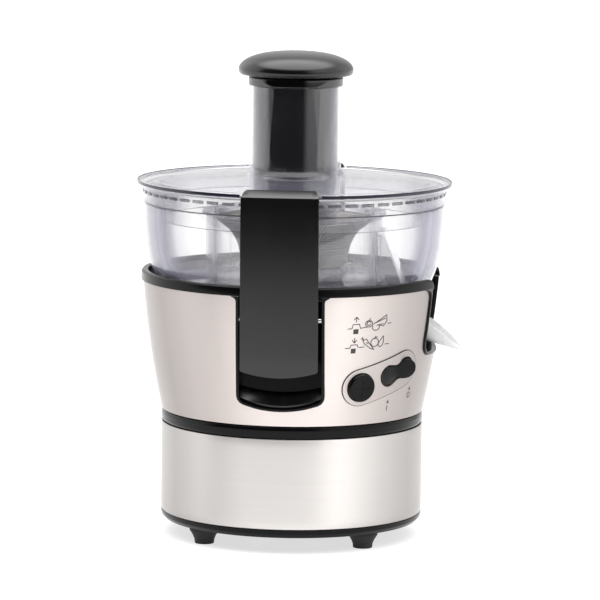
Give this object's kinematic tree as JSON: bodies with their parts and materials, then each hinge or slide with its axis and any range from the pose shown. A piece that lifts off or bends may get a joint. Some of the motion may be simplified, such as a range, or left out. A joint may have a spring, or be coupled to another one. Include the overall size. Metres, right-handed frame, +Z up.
{
  "type": "centrifugal juicer",
  "caption": "Centrifugal juicer: steel-clad motor base, clear pulp bowl and lid with a feed chute, black pusher, two side clamps, juice spout, button and rocker.",
  "frame": {"origin": "on the floor, at the middle of the object's bounding box; the juicer's own axis stands 5 mm to -X of it, because the spout reaches past the lid", "axes": "+Z up, -Y out of the front clamp, +X out of the juice spout"},
  "size_m": [0.2511, 0.2484, 0.37],
  "materials": {
    "brushed_stainless": "fine horizontal brushing, warm tone",
    "bright_steel": "bright turned or rolled steel",
    "gloss_black_plastic": "high gloss moulding",
    "satin_black_plastic": "fine satin moulding",
    "clear_plastic": "clear moulding with polished faces",
    "frosted_plastic": "translucent milky moulding",
    "black_rubber": "matte",
    "grey_rubber": "matte",
    "cast_alloy": "as cast",
    "laminated_iron": "stacked sheets",
    "enamelled_copper": "enamelled wire",
    "brass": "plain",
    "carbon": "pressed carbon"
  },
  "bodies": {
    "juicer_body": {"base_plate": "gloss_black_plastic", "foot_1": "black_rubber", "foot_2": "black_rubber", "foot_3": "black_rubber", "foot_4": "black_rubber", "lower_band": "brushed_stainless", "lower_housing": "satin_black_plastic", "cord_gland": "black_rubber", "waist_ring": "gloss_black_plastic", "upper_shell": "brushed_stainless", "upper_housing": "satin_black_plastic", "rim_trim": "gloss_black_plastic", "front_pocket": "gloss_black_plastic", "rear_pocket": "gloss_black_plastic", "spout_surround": "gloss_black_plastic", "control_panel": "brushed_stainless", "front_clamp_pin": "bright_steel", "rear_clamp_pin": "bright_steel", "front_clamp_switch": "satin_black_plastic", "rear_clamp_switch": "satin_black_plastic", "speed_switch": "satin_black_plastic", "power_switch": "satin_black_plastic", "terminal_block": "frosted_plastic", "motor_stator": "laminated_iron", "front_field_coil": "enamelled_copper", "rear_field_coil": "enamelled_copper", "upper_bracket": "cast_alloy", "lower_bracket": "cast_alloy", "upper_bearing": "bright_steel", "lower_bearing": "bright_steel", "left_motor_bolt": "bright_steel", "right_motor_bolt": "bright_steel", "motor_damper": "black_rubber", "left_carbon_brush": "carbon", "right_carbon_brush": "carbon", "left_brush_holder": "brass", "right_brush_holder": "brass", "shaft_seal": "black_rubber", "pulp_bowl": "clear_plastic", "juice_collector": "clear_plastic", "juice_duct": "clear_plastic", "juice_spout": "frosted_plastic", "lid": "clear_plastic", "lid_gasket": "grey_rubber"},
    "rotor": {"motor_shaft": "bright_steel", "armature_core": "laminated_iron", "armature_winding": "enamelled_copper", "commutator": "brass", "cooling_fan": "satin_black_plastic", "drive_coupling": "satin_black_plastic", "filter_basket": "bright_steel", "basket_rim": "clear_plastic", "basket_hub": "clear_plastic", "grater_disc": "bright_steel"},
    "pusher": {"pusher_body": "gloss_black_plastic", "pusher_cap": "gloss_black_plastic"},
    "front_clamp": {"front_clamp": "satin_black_plastic"},
    "rear_clamp": {"rear_clamp": "satin_black_plastic"},
    "speed_button": {"speed_button": "gloss_black_plastic"},
    "power_rocker": {"power_rocker": "gloss_black_plastic"}
  },
  "joints": [
    {"name": "rotor_spin", "type": "hinge", "parent": "juicer_body", "child": "rotor", "pos_m": [-0.005, 0, 0.2], "axis": [0, 0, 1], "continuous": true},
    {"name": "pusher_slide", "type": "slide", "parent": "juicer_body", "child": "pusher", "axis": [0, 0, 1], "range_m": [0, 0.11]},
    {"name": "front_clamp_hinge", "type": "hinge", "parent": "juicer_body", "child": "front_clamp", "pos_m": [-0.005, -0.106, 0.178], "axis": [1, 0, 0], "range_deg": [0, 28]},
    {"name": "rear_clamp_hinge", "type": "hinge", "parent": "juicer_body", "child": "rear_clamp", "pos_m": [-0.005, 0.106, 0.178], "axis": [-1, 0, 0], "range_deg": [0, 28]},
    {"name": "speed_button_press", "type": "slide", "parent": "juicer_body", "child": "speed_button", "axis": [-0.5476, 0.818, 0.176], "range_m": [0, 0.004], "stiffness_N_per_m": 400, "springref_m": -0.001},
    {"name": "power_rocker_tilt", "type": "hinge", "parent": "juicer_body", "child": "power_rocker", "pos_m": [0.07578, -0.06312, 0.13642], "axis": [-0.0418, -0.3086, 0.9503], "range_deg": [0, 20]}
  ]
}
